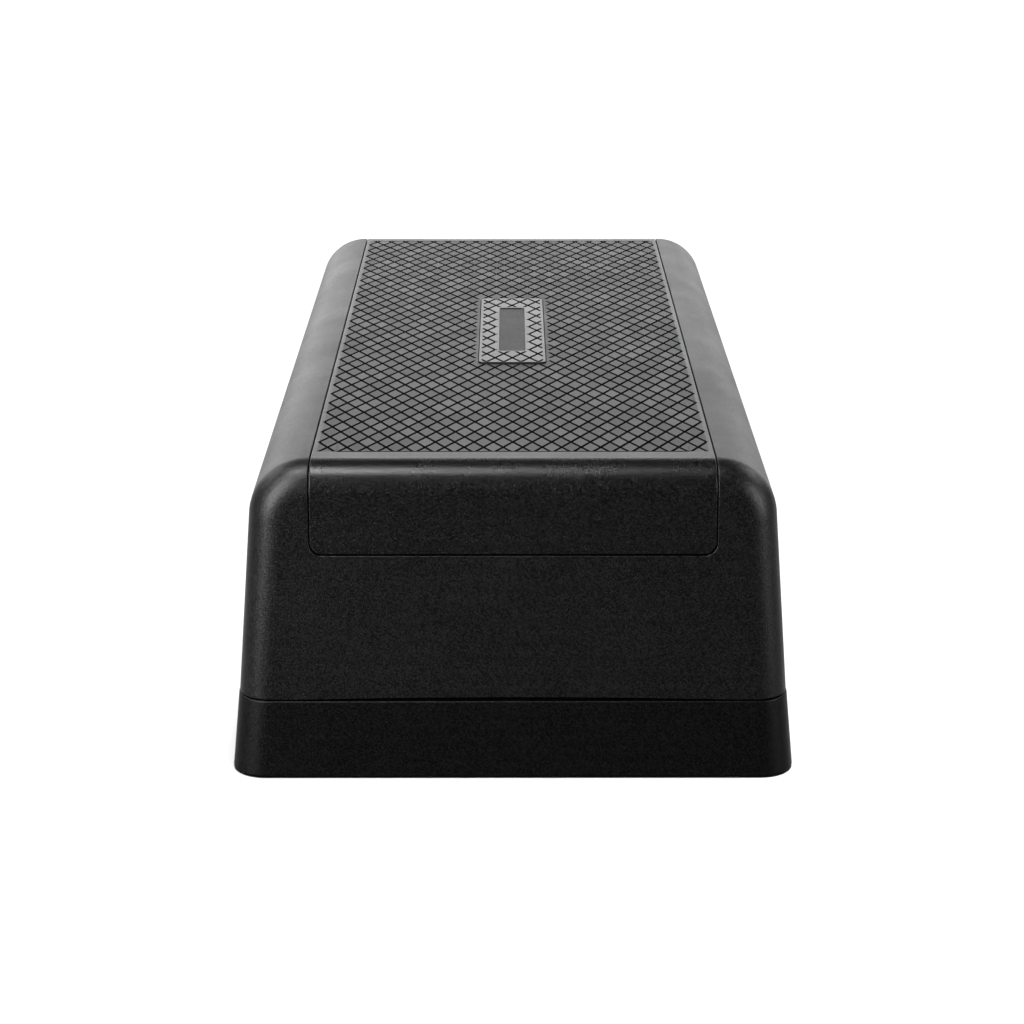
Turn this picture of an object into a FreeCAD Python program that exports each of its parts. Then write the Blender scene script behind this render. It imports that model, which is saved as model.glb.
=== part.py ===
import FreeCAD, Part
import os

# Aerobic step platform in two levels: a 150 mm platform that stands on a 50 mm plinth.
# X is the width, Y the length, Z up. The origin is at floor level under the middle.

doc = FreeCAD.newDocument("step_platform")
dims = doc.addObject("Spreadsheet::Sheet", "dims")

SIZES = [
    # plinth
    ("plinth_low_half_width", 177.7),
    ("plinth_low_half_length", 360.0),
    ("plinth_high_half_width", 173.0),
    ("plinth_high_half_length", 355.3),
    ("plinth_low", 1.0),
    ("plinth_high", 50.0),
    ("plinth_corner", 22.0),
    ("plinth_wall", 3.6),
    ("plinth_edge", 1.0),
    ("ledge_inner_half_width", 121.0),
    ("ledge_inner_half_length", 303.0),
    ("ledge_corner", 18.0),
    ("inner_wall", 3.2),
    ("inner_wall_low", 6.0),
    ("lip_height", 14.0),
    ("lip_wall", 2.8),
    ("lip_low_half_width", 167.6),
    ("lip_low_half_length", 349.9),
    ("lip_high_half_width", 166.6),
    ("lip_high_half_length", 348.9),
    ("lip_corner", 16.5),
    ("beam_station", 110.0),
    ("beam_half_width", 22.0),
    ("beam_low", 14.0),
    ("beam_wall", 3.2),
    ("channel_rib", 2.6),
    # platform
    ("deck_low_half_width", 172.5),
    ("deck_low_half_length", 354.8),
    ("deck_high_half_width", 161.35),
    ("deck_high_half_length", 343.65),
    ("deck_low", 50.7),
    ("deck_high", 200.0),
    ("shoulder_radius", 37.0),
    ("end_radius", 21.0),
    ("deck_wall", 3.6),
    ("rim_edge", 0.8),
    ("rim_arch_radius", 5114.0),
    ("rim_arch_top", 52.9),
    ("rib_wall", 2.6),
    ("rib_low", 162.0),
    ("rib_pitch_across", 48.5),
    ("rib_pitch_along", 55.0),
    ("hoop_depth", 10.0),
    ("hoop_low", 72.0),
    # tread panel and its recess
    ("recess_depth", 4.2),
    ("recess_half_width", 125.8),
    ("recess_low", 143.6),
    ("recess_corner", 7.8),
    ("recess_edge", 0.5),
    ("panel_thickness", 4.0),
    ("panel_half_width", 125.0),
    ("panel_low", 144.4),
    ("panel_corner", 7.0),
    ("plate_half_width", 25.0),
    ("plate_half_length", 97.0),
    ("plate_height", 1.4),
    ("plate_bevel", 2.2),
    ("plate_corner", 4.5),
    # screws of the tread panel
    ("tower_radius", 7.0),
    ("tower_low", 178.0),
    ("tower_floor", 3.0),
    ("stud_radius", 4.5),
    ("stud_play", 0.15),
    ("screw_shank_radius", 1.95),
    ("screw_shank_length", 14.0),
    ("screw_pilot_radius", 2.0),
    ("screw_hole_radius", 2.2),
    ("screw_head_radius", 4.2),
    ("screw_head_height", 2.6),
    ("screw_slot_width", 1.2),
    ("screw_slot_length", 4.6),
    ("screw_slot_depth", 1.4),
    # rubber feet and their tubes
    ("platform_foot_across", 145.5),
    ("platform_foot_along", 327.0),
    ("platform_tube_radius", 15.0),
    ("platform_tube_bore", 12.0),
    ("base_foot_across", 148.0),
    ("base_foot_along", 329.0),
    ("base_tube_radius", 14.0),
    ("base_tube_bore", 11.0),
    ("foot_along_middle", 110.0),
    ("foot_flange_height", 6.0),
    ("foot_flange_over", 0.5),
    ("foot_bevel", 1.5),
    ("foot_dimple_radius", 5.0),
    ("foot_dimple_depth", 2.0),
    ("foot_stem_play", 0.1),
    ("foot_stem_height", 16.0),
    ("foot_stem_nose", 2.0),
]
VALUE = {}
for row, (alias, value) in enumerate(SIZES, start=1):
    dims.set("A%d" % row, alias)
    dims.set("B%d" % row, str(value))
    dims.setAlias("B%d" % row, alias)
    VALUE[alias] = value
doc.recompute()


def sheet(text):
    """Turns words such as @deck_wall into references to the sheet."""
    return text.replace("@", "dims.")


def bind(obj, prop, text):
    obj.setExpression(prop, sheet(str(text)))


def frustum(name, low_x, low_y, low_z, high_x, high_y, high_z):
    """A block with drafted sides, from half sizes at two heights."""
    o = doc.addObject("Part::Wedge", name)
    o.Xmin, o.Xmax, o.Zmin, o.Zmax, o.Ymin, o.Ymax = -10, 10, -10, 10, 0, 10
    o.X2min, o.X2max, o.Z2min, o.Z2max = -9, 9, -9, 9
    bind(o, "Xmin", "-(%s)" % low_x)
    bind(o, "Xmax", low_x)
    bind(o, "Zmin", "-(%s)" % low_y)
    bind(o, "Zmax", low_y)
    bind(o, "Ymin", low_z)
    bind(o, "Ymax", high_z)
    bind(o, "X2min", "-(%s)" % high_x)
    bind(o, "X2max", high_x)
    bind(o, "Z2min", "-(%s)" % high_y)
    bind(o, "Z2max", high_y)
    o.Placement = FreeCAD.Placement(
        FreeCAD.Vector(0, 0, 0), FreeCAD.Rotation(FreeCAD.Vector(1, 0, 0), 90)
    )
    return o


def box(name, x0, x1, y0, y1, z0, z1):
    o = doc.addObject("Part::Box", name)
    bind(o, "Length", "(%s) - (%s)" % (x1, x0))
    bind(o, "Width", "(%s) - (%s)" % (y1, y0))
    bind(o, "Height", "(%s) - (%s)" % (z1, z0))
    bind(o, "Placement.Base.x", x0)
    bind(o, "Placement.Base.y", y0)
    bind(o, "Placement.Base.z", z0)
    return o


def post(name, radius, x, y, z0, z1):
    o = doc.addObject("Part::Cylinder", name)
    bind(o, "Radius", radius)
    bind(o, "Height", "(%s) - (%s)" % (z1, z0))
    bind(o, "Placement.Base.x", x)
    bind(o, "Placement.Base.y", y)
    bind(o, "Placement.Base.z", z0)
    return o


def cut(name, base, tool):
    o = doc.addObject("Part::Cut", name)
    o.Base, o.Tool = base, tool
    return o


def common(name, a, b):
    o = doc.addObject("Part::Common", name)
    o.Base, o.Tool = a, b
    return o


def fuse(name, shapes):
    o = doc.addObject("Part::MultiFuse", name)
    o.Shapes = shapes
    return o


def fillet(name, base, radius, keep):
    """Rounds the edges of base that keep() picks."""
    doc.recompute()
    picked = [
        i for i, e in enumerate(base.Shape.Edges, start=1) if keep(e)
    ]
    if not picked:
        raise RuntimeError("no edge to round for " + name)
    o = doc.addObject("Part::Fillet", name)
    o.Base = base
    o.Edges = [(i, radius, radius) for i in picked]
    doc.recompute()
    if o.Shape.isNull() or not o.Shape.isValid():
        raise RuntimeError("rounding failed: " + name)
    return o


def span(e):
    return e.BoundBox


def upright(e):
    b = span(e)
    return b.ZLength > 0.6 * e.Length and b.ZLength > 2.0


def at_height(z):
    return lambda e: abs(span(e).ZMin - z) < 0.01 and abs(span(e).ZMax - z) < 0.01


def along_length(z):
    return lambda e: at_height(z)(e) and span(e).YLength > 0.9 * e.Length


def along_width(z):
    return lambda e: at_height(z)(e) and span(e).XLength > 0.9 * e.Length


# ---------------------------------------------------------------- platform
# Sides and ends lean in at the same rate. shape_in() gives the half sizes of the
# form that lies a given depth inside the outer skin.
LEAN_X = "((@deck_low_half_width - @deck_high_half_width) / (@deck_high - @deck_low))"
LEAN_Y = "((@deck_low_half_length - @deck_high_half_length) / (@deck_high - @deck_low))"


def shape_in(name, depth, below):
    """The platform's outer form moved in by depth, reaching below its rim."""
    return frustum(
        name,
        "@deck_low_half_width + %s * (%s) - (%s)" % (LEAN_X, below, depth),
        "@deck_low_half_length + %s * (%s) - (%s)" % (LEAN_Y, below, depth),
        "@deck_low - (%s)" % below,
        "@deck_high_half_width + %s * (%s) - (%s)" % (LEAN_X, depth, depth),
        "@deck_high_half_length + %s * (%s) - (%s)" % (LEAN_Y, depth, depth),
        "@deck_high - (%s)" % depth,
    )


def end_edges(top, half_length):
    """The upright and upper edges around both end faces, not the rim."""

    def keep(e):
        b = span(e)
        if b.ZMax < VALUE["deck_low"] + 1.0:
            return False
        c = e.CenterOfMass
        if abs(c.y) < half_length - 30.0:
            return False
        return b.YLength < 16.0

    return keep


def rounded_form(name, depth, below):
    """Outer form at a depth, with round shoulders and round ends."""
    block = shape_in(name + "_block", depth, below)
    d = VALUE[depth[1:]] if depth.startswith("@") else float(depth)
    top = VALUE["deck_high"] - d
    shoulders = fillet(
        name + "_shoulders", block, VALUE["shoulder_radius"] - d, along_length(top)
    )
    return fillet(
        name + "_ends",
        shoulders,
        VALUE["end_radius"] - d,
        end_edges(top, VALUE["deck_high_half_length"]),
    )


def saddle_form(name, depth, below, drop=0.0):
    """Plain form at a depth with only its two upper end edges round."""
    block = shape_in(name + "_block", depth, below)
    doc.recompute()
    top = block.Shape.BoundBox.ZMax
    d = VALUE["deck_high"] - top
    return fillet(name + "_ends", block, VALUE["end_radius"] - d, along_width(top))


outer = rounded_form("deck_outer", "0", "0")
outer_rim = fillet(
    "deck_outer_rim", outer, VALUE["rim_edge"], at_height(VALUE["deck_low"])
)
inner = rounded_form("deck_inner", "@deck_wall", "2")

# The wall steps in behind the tread panel, so the recess has a full wall under it.
under_recess = saddle_form("under_recess", "@recess_depth + @deck_wall", "2")
recess_floor = saddle_form("recess_floor", "@recess_depth", "2")
panel_floor = saddle_form("panel_floor", "@panel_thickness", "2")
panel_skin = saddle_form("panel_skin", "0", "2")

step_block = box(
    "step_block",
    "-@recess_half_width - @deck_wall",
    "@recess_half_width + @deck_wall",
    "-400",
    "400",
    "@recess_low - @deck_wall",
    "@deck_high + 10",
)
step_band = cut("step_band", step_block, under_recess)
cavity = cut("cavity", inner, step_band)

recess_block = box(
    "recess_block",
    "-@recess_half_width",
    "@recess_half_width",
    "-400",
    "400",
    "@recess_low",
    "@deck_high + 10",
)
recess_round = fillet(
    "recess_round",
    recess_block,
    VALUE["recess_corner"],
    along_length(VALUE["recess_low"]),
)
recess_tool = cut("recess_tool", recess_round, recess_floor)

# Rib grid under the deck, wall to wall. Along the walls the same ribs run on down as
# shallow hoops, so they stay out of rib_free.
ACROSS = [-3, -2, -1, 0, 1, 2, 3]
ALONG = [-5, -4, -3, -2, -1, 0, 1, 2, 3, 4, 5]
rib_free = frustum(
    "rib_free",
    "@deck_low_half_width + %s * 2 - @deck_wall - @hoop_depth" % LEAN_X,
    "@deck_low_half_length + %s * 2 - @deck_wall - @hoop_depth" % LEAN_Y,
    "@deck_low - 2",
    "@deck_low_half_width - %s * (@rib_low - @deck_low) - @deck_wall - @hoop_depth" % LEAN_X,
    "@deck_low_half_length - %s * (@rib_low - @deck_low) - @deck_wall - @hoop_depth" % LEAN_Y,
    "@rib_low",
)
ribs = []
for i in ACROSS:
    x = "%d * @rib_pitch_across" % i
    low, high = "%s - @rib_wall / 2" % x, "%s + @rib_wall / 2" % x
    ribs.append(
        box("rib_x%d" % (i + 3), low, high, "-400", "400", "@hoop_low", "@deck_high")
    )
for j in ALONG:
    y = "%d * @rib_pitch_along" % j
    low, high = "%s - @rib_wall / 2" % y, "%s + @rib_wall / 2" % y
    ribs.append(
        box("rib_y%d" % (j + 5), "-200", "200", low, high, "@hoop_low", "@deck_high")
    )
rib_raw = fuse("rib_raw", ribs)
rib_set = cut("rib_set", rib_raw, rib_free)

# Foot tubes with webs to the walls beside them, and the screw towers.
CORNERS = [(-1, -1), (1, -1), (-1, 1), (1, 1)]
tubes, webs, bores = [], [], []
for sx, sy in CORNERS:
    for where, along in (("end", "@platform_foot_along"), ("mid", "@foot_along_middle")):
        x = "%d * @platform_foot_across" % sx
        y = "%d * %s" % (sy, along)
        tag = "%s_%d_%d" % (where, sx + 1, sy + 1)
        tubes.append(
            post(
                "tube_" + tag,
                "@platform_tube_radius",
                x,
                y,
                "@deck_low + @foot_flange_height - 0.7",
                "@deck_high",
            )
        )
        bores.append(
            post(
                "bore_" + tag,
                "@platform_tube_bore",
                x,
                y,
                "@deck_low - 1",
                "@rib_low",
            )
        )
        far = "%d * (@platform_foot_across + 40)" % sx
        x0, x1 = (x, far) if sx > 0 else (far, x)
        webs.append(
            box(
                "web_" + tag,
                x0,
                x1,
                "%s - @rib_wall / 2" % y,
                "%s + @rib_wall / 2" % y,
                "@hoop_low",
                "@deck_high",
            )
        )
        if where == "end":
            far = "%d * (@platform_foot_along + 40)" % sy
            y0, y1 = (y, far) if sy > 0 else (far, y)
            webs.append(
                box(
                    "endweb_" + tag,
                    "%s - @rib_wall / 2" % x,
                    "%s + @rib_wall / 2" % x,
                    y0,
                    y1,
                    "@hoop_low",
                    "@deck_high",
                )
            )

SCREWS = [(sx, j) for sx in (-1, 1) for j in (-2, -1, 0, 1, 2)]
towers, wells, screw_holes = [], [], []
for sx, j in SCREWS:
    x = "%d * 2 * @rib_pitch_across" % sx
    y = "%d * 2 * @rib_pitch_along" % j
    tag = "%d_%d" % (sx + 1, j + 2)
    towers.append(post("tower_" + tag, "@tower_radius", x, y, "@tower_low", "@deck_high - @recess_depth - 1"))
    wells.append(
        post("well_" + tag, "@stud_radius + @stud_play", x, y, "@tower_low + @tower_floor", "@deck_high + 5")
    )
    screw_holes.append(post("hole_" + tag, "@screw_hole_radius", x, y, "@rib_low - 5", "@deck_high + 5"))
    # the ribs stop short of the screw head and its driver
    wells.append(
        post("driver_" + tag, "@tower_radius + 1.5", x, y, "@rib_low - 5", "@tower_low")
    )

# What stands inside is left when the hollow is taken out of the block.
standing = fuse("standing", [rib_set] + tubes + webs + towers)
hollow_space = cut("hollow_space", cavity, standing)
hollow = cut("hollow", outer_rim, hollow_space)
skin = cut("skin", hollow, recess_tool)


def recess_rim(e):
    """Edges where the recess meets the outer skin."""
    b = span(e)
    c = e.CenterOfMass
    hw, low = VALUE["recess_half_width"], VALUE["recess_low"]
    if b.ZMin < low - 0.1 or abs(c.x) > hw + 0.1:
        return False
    verts = [v.Point for v in e.Vertexes]
    mid = e.valueAt((e.FirstParameter + e.LastParameter) / 2)
    return all(on_skin(p) for p in verts + [mid])


def on_skin(p):
    """Is a point on the outer saddle surface (top, end round or end face)?"""
    return (
        panel_skin.Shape.Faces
        and min(
            f.distToShape(Part.Vertex(p))[0] for f in panel_skin.Shape.Faces
        )
        < 1e-3
    )


soft_skin = fillet("soft_skin", skin, VALUE["recess_edge"], recess_rim)

removed = fuse("removed", bores + wells + screw_holes)
shell_cut = cut("shell_cut", soft_skin, removed)

# The rim rises a little towards the middle of each end.
arch = doc.addObject("Part::Cylinder", "rim_arch")
bind(arch, "Radius", "@rim_arch_radius")
arch.Height = 900
arch.Placement = FreeCAD.Placement(
    FreeCAD.Vector(0, 450, VALUE["rim_arch_top"] - VALUE["rim_arch_radius"]),
    FreeCAD.Rotation(FreeCAD.Vector(1, 0, 0), 90),
)
bind(arch, "Placement.Base.z", "@rim_arch_top - @rim_arch_radius")
platform_shell = cut("platform_shell", shell_cut, arch)

# ---------------------------------------------------------------- tread panel
panel_block = box(
    "panel_block",
    "-@panel_half_width",
    "@panel_half_width",
    "-400",
    "400",
    "@panel_low",
    "@deck_high + 10",
)
panel_round = fillet(
    "panel_round",
    panel_block,
    VALUE["panel_corner"],
    along_length(VALUE["panel_low"]),
)
panel_outer = common("panel_outer", panel_round, panel_skin)
panel_band = cut("panel_band", panel_outer, panel_floor)
plate_block = frustum(
    "plate_block",
    "@plate_half_width",
    "@plate_half_length",
    "@deck_high - 0.5",
    "@plate_half_width - @plate_bevel",
    "@plate_half_length - @plate_bevel",
    "@deck_high + @plate_height",
)
plate = fillet("plate", plate_block, VALUE["plate_corner"], lambda e: span(e).ZLength > 1.0)
studs, pilots = [], []
for sx, j in SCREWS:
    x = "%d * 2 * @rib_pitch_across" % sx
    y = "%d * 2 * @rib_pitch_along" % j
    tag = "%d_%d" % (sx + 1, j + 2)
    studs.append(
        post("stud_" + tag, "@stud_radius", x, y, "@tower_low + @tower_floor + 0.2", "@deck_high - 1")
    )
    pilots.append(
        post("pilot_" + tag, "@screw_pilot_radius", x, y, "@tower_low", "@tower_low + @screw_shank_length + 0.6")
    )
panel_raw = fuse("panel_raw", [panel_band, plate] + studs)
pilot_set = fuse("pilot_set", pilots)
tread_panel = cut("tread_panel", panel_raw, pilot_set)

# ---------------------------------------------------------------- screws
heads, slots = [], []
for sx, j in SCREWS:
    x = "%d * 2 * @rib_pitch_across" % sx
    y = "%d * 2 * @rib_pitch_along" % j
    tag = "%d_%d" % (sx + 1, j + 2)
    heads.append(
        post("head_" + tag, "@screw_head_radius", x, y, "@tower_low - @screw_head_height", "@tower_low")
    )
    heads.append(
        post("shank_" + tag, "@screw_shank_radius", x, y, "@tower_low - 0.5", "@tower_low + @screw_shank_length")
    )
    for way, lx, ly in (("a", "length", "width"), ("b", "width", "length")):
        slots.append(
            box(
                "slot_%s_%s" % (way, tag),
                "%s - @screw_slot_%s / 2" % (x, lx),
                "%s + @screw_slot_%s / 2" % (x, lx),
                "%s - @screw_slot_%s / 2" % (y, ly),
                "%s + @screw_slot_%s / 2" % (y, ly),
                "@tower_low - @screw_head_height - 1",
                "@tower_low - @screw_head_height + @screw_slot_depth",
            )
        )
screws_raw = fuse("screws_raw", heads)
slot_set = fuse("slot_set", slots)
tread_screws = cut("tread_screws", screws_raw, slot_set)

# ---------------------------------------------------------------- plinth
P_LEAN_X = "((@plinth_low_half_width - @plinth_high_half_width) / (@plinth_high - @plinth_low))"
P_LEAN_Y = "((@plinth_low_half_length - @plinth_high_half_length) / (@plinth_high - @plinth_low))"


def plinth_in(name, depth, below, drop):
    """The plinth's outer form moved in by depth, with its top lowered by drop."""
    d = VALUE[depth[1:]] if depth.startswith("@") else float(depth)
    block = frustum(
        name + "_block",
        "@plinth_low_half_width + %s * (%s) - (%s)" % (P_LEAN_X, below, depth),
        "@plinth_low_half_length + %s * (%s) - (%s)" % (P_LEAN_Y, below, depth),
        "@plinth_low - (%s)" % below,
        "@plinth_high_half_width + %s * (%s) - (%s)" % (P_LEAN_X, drop, depth),
        "@plinth_high_half_length + %s * (%s) - (%s)" % (P_LEAN_Y, drop, depth),
        "@plinth_high - (%s)" % drop,
    )
    return fillet(name, block, VALUE["plinth_corner"] - d, upright)


plinth_outer = plinth_in("plinth_outer", "0", "0", "0")
plinth_soft = fillet(
    "plinth_soft",
    plinth_outer,
    VALUE["plinth_edge"],
    lambda e: at_height(VALUE["plinth_high"])(e) or at_height(VALUE["plinth_low"])(e),
)
plinth_cavity = plinth_in("plinth_cavity", "@plinth_wall", "2", "@plinth_wall")
plinth_limit = plinth_in("plinth_limit", "1.8", "0", "1.8")

core_block = box(
    "core_block",
    "-@ledge_inner_half_width - @inner_wall",
    "@ledge_inner_half_width + @inner_wall",
    "-@ledge_inner_half_length - @inner_wall",
    "@ledge_inner_half_length + @inner_wall",
    "@inner_wall_low",
    "@plinth_high + 5",
)
core = fillet("core", core_block, VALUE["ledge_corner"] + VALUE["inner_wall"], upright)
window_block = box(
    "window_block",
    "-@ledge_inner_half_width",
    "@ledge_inner_half_width",
    "-@ledge_inner_half_length",
    "@ledge_inner_half_length",
    "-5",
    "@plinth_high + 5",
)
window = fillet("window", window_block, VALUE["ledge_corner"], upright)
channel = cut("channel", plinth_cavity, core)
ring_raw = cut("ring_raw", plinth_soft, channel)
ring = cut("ring", ring_raw, window)

lip_block = frustum(
    "lip_block",
    "@lip_low_half_width",
    "@lip_low_half_length",
    "@plinth_high - 1",
    "@lip_high_half_width",
    "@lip_high_half_length",
    "@plinth_high + @lip_height",
)
lip_outer = fillet("lip_outer", lip_block, VALUE["lip_corner"], upright)
lip_soft = fillet(
    "lip_soft", lip_outer, 1.0, at_height(VALUE["plinth_high"] + VALUE["lip_height"])
)
lip_hole = frustum(
    "lip_hole",
    "@lip_low_half_width - @lip_wall",
    "@lip_low_half_length - @lip_wall",
    "@plinth_high - 2",
    "@lip_high_half_width - @lip_wall",
    "@lip_high_half_length - @lip_wall",
    "@plinth_high + @lip_height + 1",
)
lip_inner = fillet("lip_inner", lip_hole, VALUE["lip_corner"] - VALUE["lip_wall"], upright)
lip = cut("lip", lip_soft, lip_inner)

beams, beam_holes = [], []
for side in (-1, 1):
    y = "%d * @beam_station" % side
    tag = "front" if side < 0 else "rear"
    reach = "@ledge_inner_half_width + @inner_wall / 2"
    beams.append(
        box(
            "beam_" + tag,
            "-(%s)" % reach,
            reach,
            "%s - @beam_half_width" % y,
            "%s + @beam_half_width" % y,
            "@beam_low",
            "@plinth_high",
        )
    )
    beam_holes.append(
        box(
            "beam_hollow_" + tag,
            "-@ledge_inner_half_width",
            "@ledge_inner_half_width",
            "%s - @beam_half_width + @beam_wall" % y,
            "%s + @beam_half_width - @beam_wall" % y,
            "@beam_low - 1",
            "@plinth_high - @plinth_wall",
        )
    )
beam_set = fuse("beam_set", beams)
beam_hollow = fuse("beam_hollow", beam_holes)
beam_pair = cut("beam_pair", beam_set, beam_hollow)
# small cross webs keep the beam walls apart
beam_webs = []
for side in (-1, 1):
    for i in (-1, 0, 1):
        x = "%d * 60" % i
        y = "%d * @beam_station" % side
        beam_webs.append(
            box(
                "beam_web_%d_%d" % (side + 1, i + 1),
                "%s - @channel_rib / 2" % x,
                "%s + @channel_rib / 2" % x,
                "%s - @beam_half_width + 1" % y,
                "%s + @beam_half_width - 1" % y,
                "@beam_low + 6",
                "@plinth_high - 1",
            )
        )

channel_ribs = []
for j in (-5, -4, -3, -2, -1, 0, 1, 2, 3, 4, 5):
    y = "%d * @rib_pitch_along" % j
    for sx in (-1, 1):
        near, far = "%d * (@ledge_inner_half_width + 1)" % sx, "%d * 200" % sx
        x0, x1 = (near, far) if sx > 0 else (far, near)
        channel_ribs.append(
            box(
                "channel_rib_%d_%d" % (j + 5, sx + 1),
                x0,
                x1,
                "%s - @channel_rib / 2" % y,
                "%s + @channel_rib / 2" % y,
                "@inner_wall_low + 4",
                "@plinth_high - 1",
            )
        )
for i in (-2, -1, 0, 1, 2):
    x = "%d * @rib_pitch_across" % i
    for sy in (-1, 1):
        near, far = "%d * (@ledge_inner_half_length + 1)" % sy, "%d * 400" % sy
        y0, y1 = (near, far) if sy > 0 else (far, near)
        channel_ribs.append(
            box(
                "end_rib_%d_%d" % (i + 2, sy + 1),
                "%s - @channel_rib / 2" % x,
                "%s + @channel_rib / 2" % x,
                y0,
                y1,
                "@inner_wall_low + 4",
                "@plinth_high - 1",
            )
        )
base_tubes, base_bores = [], []
for sx, sy in CORNERS:
    for where, along in (("end", "@base_foot_along"), ("mid", "@foot_along_middle")):
        x = "%d * @base_foot_across" % sx
        y = "%d * %s" % (sy, along)
        tag = "%s_%d_%d" % (where, sx + 1, sy + 1)
        base_tubes.append(
            post("base_tube_" + tag, "@base_tube_radius", x, y, "@foot_flange_height", "@plinth_high - 1")
        )
        base_bores.append(
            post("base_bore_" + tag, "@base_tube_bore", x, y, "-1", "@plinth_high - @plinth_wall")
        )
channel_raw = fuse("channel_raw", channel_ribs + base_tubes)
channel_in = common("channel_in", channel_raw, plinth_limit)
base_raw = fuse("base_raw", [ring, lip, beam_pair, channel_in] + beam_webs)
base_bore_set = fuse("base_bore_set", base_bores)
base_frame = cut("base_frame", base_raw, base_bore_set)


# ---------------------------------------------------------------- rubber feet
def origin_plane(body, role):
    for o in body.Origin.OriginFeatures:
        if o.Role == role:
            return o
    raise RuntimeError("no plane " + role)


def rubber_foot(label, tube, x, y, z):
    """A push-in foot: a bevelled disc with a dimple below and a plug stem above."""
    body = doc.addObject("PartDesign::Body", label)
    sketch = body.newObject("Sketcher::SketchObject", label + "_half_section")
    sketch.AttachmentSupport = (origin_plane(body, "XZ_Plane"), [""])
    sketch.MapMode = "FlatFace"
    disc = "@%s_tube_radius + @foot_flange_over" % tube
    stem = "@%s_tube_bore - @foot_stem_play" % tube
    tall = "@foot_flange_height + @foot_stem_height"
    corners = [
        ("0", "@foot_dimple_depth"),
        ("@foot_dimple_radius", "@foot_dimple_depth"),
        ("@foot_dimple_radius", "0"),
        ("%s - @foot_bevel" % disc, "0"),
        (disc, "@foot_bevel"),
        (disc, "@foot_flange_height"),
        (stem, "@foot_flange_height"),
        (stem, "%s - @foot_stem_nose" % tall),
        ("%s - @foot_stem_nose" % stem, tall),
        ("0", tall),
    ]

    def number(text):
        for alias in sorted(VALUE, key=len, reverse=True):
            text = text.replace("@" + alias, repr(VALUE[alias]))
        total = 0.0
        for term in text.replace(" - ", " + -").split(" + "):
            total += float(term)
        return total

    points = [FreeCAD.Vector(number(a), number(b), 0) for a, b in corners]
    for i, p in enumerate(points):
        sketch.addGeometry(Part.LineSegment(p, points[(i + 1) % len(points)]), False)
    for i in range(len(points)):
        sketch.addConstraint(Sketcher.Constraint("Coincident", i, 2, (i + 1) % len(points), 1))
    for i, (a, b) in enumerate(corners):
        for letter, kind, text, axis in (
            ("across", "DistanceX", a, -2),
            ("up", "DistanceY", b, -1),
        ):
            if text == "0":
                sketch.addConstraint(Sketcher.Constraint("PointOnObject", i, 1, axis))
            else:
                n = sketch.addConstraint(
                    Sketcher.Constraint(kind, -1, 1, i, 1, number(text))
                )
                name = "%s_%d" % (letter, i)
                sketch.renameConstraint(n, name)
                sketch.setExpression("Constraints." + name, sheet(text))
    turn = body.newObject("PartDesign::Revolution", label + "_turned")
    turn.Profile = sketch
    turn.ReferenceAxis = (sketch, ["V_Axis"])
    turn.Angle = 360.0
    body.Tip = turn
    bind(body, "Placement.Base.x", x)
    bind(body, "Placement.Base.y", y)
    bind(body, "Placement.Base.z", z)
    return body


import Sketcher

SIDE = {-1: "left", 1: "right"}
END = {-1: "front", 1: "rear"}
feet = []
for sx, sy in CORNERS:
    for where, along in (("end", "foot_along"), ("mid", "foot_along_middle")):
        place = "%s_%s" % (END[sy], SIDE[sx])
        if where == "mid":
            place = "mid_" + place
        for kind, z in (("platform", "@plinth_high"), ("base", "0")):
            row = "@%s_foot_along" % kind if where == "end" else "@foot_along_middle"
            feet.append(
                rubber_foot(
                    "%s_foot_%s" % (kind, place),
                    kind,
                    "%d * @%s_foot_across" % (sx, kind),
                    "%d * %s" % (sy, row),
                    z,
                )
            )

doc.recompute()

# ---------------------------------------------------------------- write the pieces
platform_shell.Label = "platform_shell"
tread_panel.Label = "tread_panel"
tread_screws.Label = "tread_screws"
base_frame.Label = "base_frame"
pieces = [platform_shell, tread_panel, tread_screws, base_frame] + feet

for o in doc.Objects:
    if "Invalid" in o.State or "Error" in o.State:
        raise RuntimeError("%s is not sound: %s" % (o.Name, o.State))
for p in pieces:
    if p.Shape.isNull() or not p.Shape.isValid():
        raise RuntimeError("%s has no valid shape" % p.Label)
    solids = len(p.Shape.Solids)
    wanted = len(SCREWS) if p is tread_screws else 1
    if solids != wanted:
        raise RuntimeError("%s has %d solids, not %d" % (p.Label, solids, wanted))

os.makedirs("parts", exist_ok=True)
for p in pieces:
    p.Shape.exportStep("parts/%s.step" % p.Label)
    b = p.Shape.BoundBox
    print(
        "%-32s %8.1f cm3  %7.2f %7.2f %7.2f  z %.2f..%.2f"
        % (p.Label, p.Shape.Volume / 1000.0, b.XLength, b.YLength, b.ZLength, b.ZMin, b.ZMax)
    )
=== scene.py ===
import math

import bpy
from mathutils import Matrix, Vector


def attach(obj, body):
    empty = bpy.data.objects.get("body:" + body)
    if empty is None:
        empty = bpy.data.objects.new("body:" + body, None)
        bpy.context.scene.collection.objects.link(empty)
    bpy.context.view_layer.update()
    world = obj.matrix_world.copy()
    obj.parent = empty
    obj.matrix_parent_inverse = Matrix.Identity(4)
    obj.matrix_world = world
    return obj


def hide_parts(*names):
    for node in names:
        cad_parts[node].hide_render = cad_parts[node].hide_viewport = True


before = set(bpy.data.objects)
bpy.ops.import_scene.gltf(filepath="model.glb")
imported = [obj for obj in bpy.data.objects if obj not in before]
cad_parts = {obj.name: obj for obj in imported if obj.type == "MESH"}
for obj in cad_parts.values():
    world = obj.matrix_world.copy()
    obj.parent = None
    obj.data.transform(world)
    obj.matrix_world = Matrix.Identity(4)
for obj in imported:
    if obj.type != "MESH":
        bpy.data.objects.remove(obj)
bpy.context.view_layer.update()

MM = 0.001

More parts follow.
